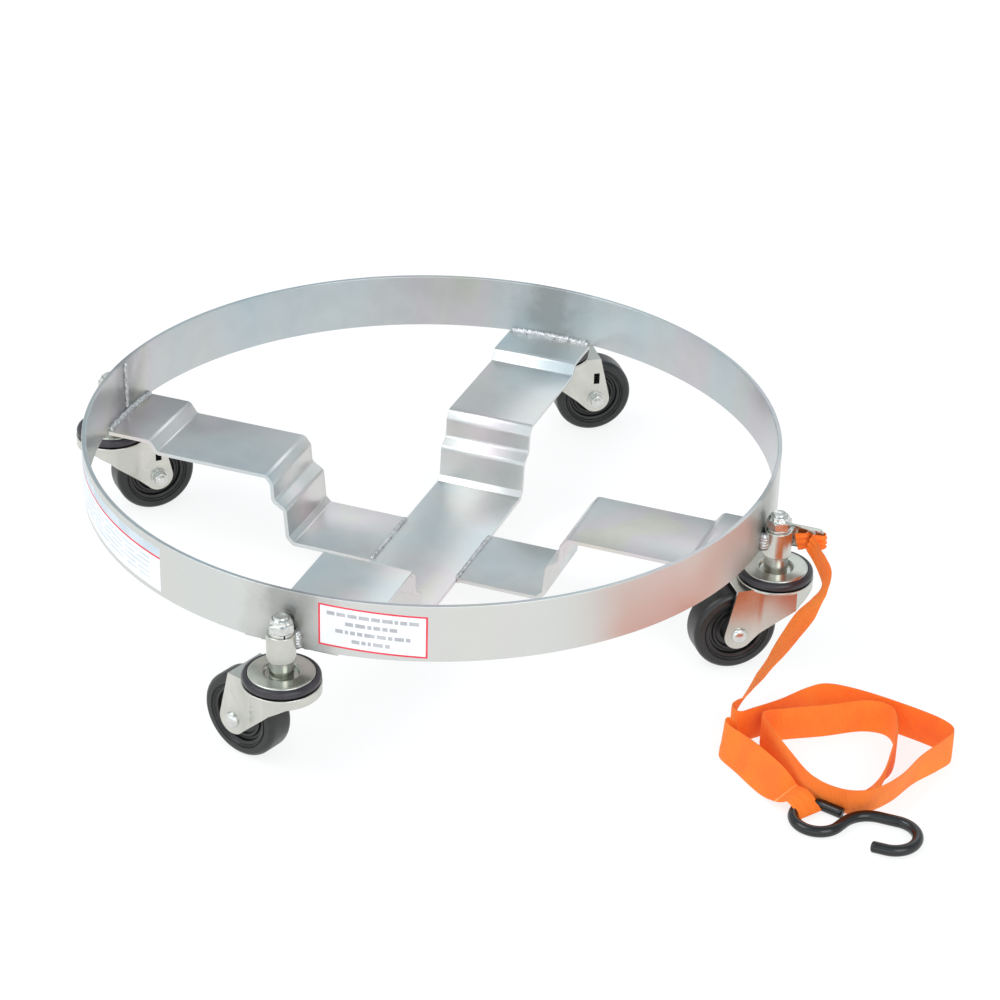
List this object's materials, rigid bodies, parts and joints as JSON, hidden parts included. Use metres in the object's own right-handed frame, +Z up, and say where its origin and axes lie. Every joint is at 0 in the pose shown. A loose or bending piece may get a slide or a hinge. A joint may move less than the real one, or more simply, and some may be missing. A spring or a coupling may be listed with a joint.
{
  "type": "drum dolly",
  "caption": "Round four-tier drum dolly: steel ring on a stepped flat-bar cross, swivel stem casters and a webbing tow strap with an S-hook.",
  "frame": {"origin": "centre of the lowest tier's top face, on the ring's axis", "axes": "+Z up along the ring's axis, +X along the arm whose caster carries the tow tab, +Y along the long cross bar away from the labelled side"},
  "size_m": [1.0658, 0.8891, 0.1958],
  "materials": {
    "zinc_plate": "clear zinc plate with faint iridescence",
    "zinc_hardware": "zinc plate, slightly warm",
    "fastener_zinc": "bright zinc",
    "weld_bead": "plated weld bead",
    "bearing_steel": "polished steel",
    "wheel_rubber": "semi-gloss hard rubber",
    "seal_rubber": "satin rubber",
    "label_film": "printed film",
    "webbing": "woven polyester webbing",
    "hook_vinyl": "vinyl-coated steel rod"
  },
  "bodies": {
    "frame": {"ring": "zinc_plate", "cross_bar": "zinc_plate", "left_arm": "zinc_plate", "right_arm": "zinc_plate", "centre_welds": "weld_bead", "arm_end_welds": "weld_bead", "ring_seam_weld": "weld_bead", "sleeve_welds": "weld_bead", "caster_sleeves": "zinc_hardware", "stem_bolts": "fastener_zinc", "stem_nuts": "fastener_zinc", "lock_washers": "fastener_zinc", "stem_collars": "zinc_hardware", "top_dishes": "zinc_hardware", "lower_races": "zinc_hardware", "tow_tab": "zinc_hardware", "tow_tab_weld": "weld_bead", "front_label": "label_film", "side_label": "label_film", "tow_strap": "webbing", "strap_loop": "webbing", "s_hook": "hook_vinyl"},
    "front_swivel": {"fork_front": "zinc_hardware", "dust_seal_front": "seal_rubber", "swivel_balls_front": "bearing_steel", "axle_bolt_front": "fastener_zinc", "axle_nut_front": "fastener_zinc", "axle_washers_front": "fastener_zinc"},
    "front_wheel": {"wheel_front": "wheel_rubber", "hub_bush_front": "bearing_steel"},
    "left_swivel": {"fork_left": "zinc_hardware", "dust_seal_left": "seal_rubber", "swivel_balls_left": "bearing_steel", "axle_bolt_left": "fastener_zinc", "axle_nut_left": "fastener_zinc", "axle_washers_left": "fastener_zinc"},
    "left_wheel": {"wheel_left": "wheel_rubber", "hub_bush_left": "bearing_steel"},
    "back_swivel": {"fork_back": "zinc_hardware", "dust_seal_back": "seal_rubber", "swivel_balls_back": "bearing_steel", "axle_bolt_back": "fastener_zinc", "axle_nut_back": "fastener_zinc", "axle_washers_back": "fastener_zinc"},
    "back_wheel": {"wheel_back": "wheel_rubber", "hub_bush_back": "bearing_steel"},
    "right_swivel": {"fork_right": "zinc_hardware", "dust_seal_right": "seal_rubber", "swivel_balls_right": "bearing_steel", "axle_bolt_right": "fastener_zinc", "axle_nut_right": "fastener_zinc", "axle_washers_right": "fastener_zinc"},
    "right_wheel": {"wheel_right": "wheel_rubber", "hub_bush_right": "bearing_steel"}
  },
  "joints": [
    {"name": "front_swivel_turn", "type": "hinge", "parent": "frame", "child": "front_swivel", "pos_m": [0, -0.3925, 0.0595], "axis": [0, 0, 1], "continuous": true},
    {"name": "front_wheel_spin", "type": "hinge", "parent": "front_swivel", "child": "front_wheel", "pos_m": [-0.04389, -0.37908, 0.0047], "axis": [-0.2924, -0.9563, 0], "continuous": true},
    {"name": "left_swivel_turn", "type": "hinge", "parent": "frame", "child": "left_swivel", "pos_m": [-0.3925, 0, 0.0595], "axis": [0, 0, 1], "continuous": true},
    {"name": "left_wheel_spin", "type": "hinge", "parent": "left_swivel", "child": "left_wheel", "pos_m": [-0.3609, 0.03329, 0.0047], "axis": [-0.7254, 0.6884, 0], "continuous": true},
    {"name": "back_swivel_turn", "type": "hinge", "parent": "frame", "child": "back_swivel", "pos_m": [0, 0.3925, 0.0595], "axis": [0, 0, 1], "continuous": true},
    {"name": "back_wheel_spin", "type": "hinge", "parent": "back_swivel", "child": "back_wheel", "pos_m": [0.0376, 0.41883, 0.0047], "axis": [-0.5736, 0.8192, 0], "continuous": true},
    {"name": "right_swivel_turn", "type": "hinge", "parent": "frame", "child": "right_swivel", "pos_m": [0.3925, 0, 0.0595], "axis": [0, 0, 1], "continuous": true},
    {"name": "right_wheel_spin", "type": "hinge", "parent": "right_swivel", "child": "right_wheel", "pos_m": [0.35633, -0.02826, 0.0047], "axis": [0.6157, -0.788, 0], "continuous": true}
  ]
}
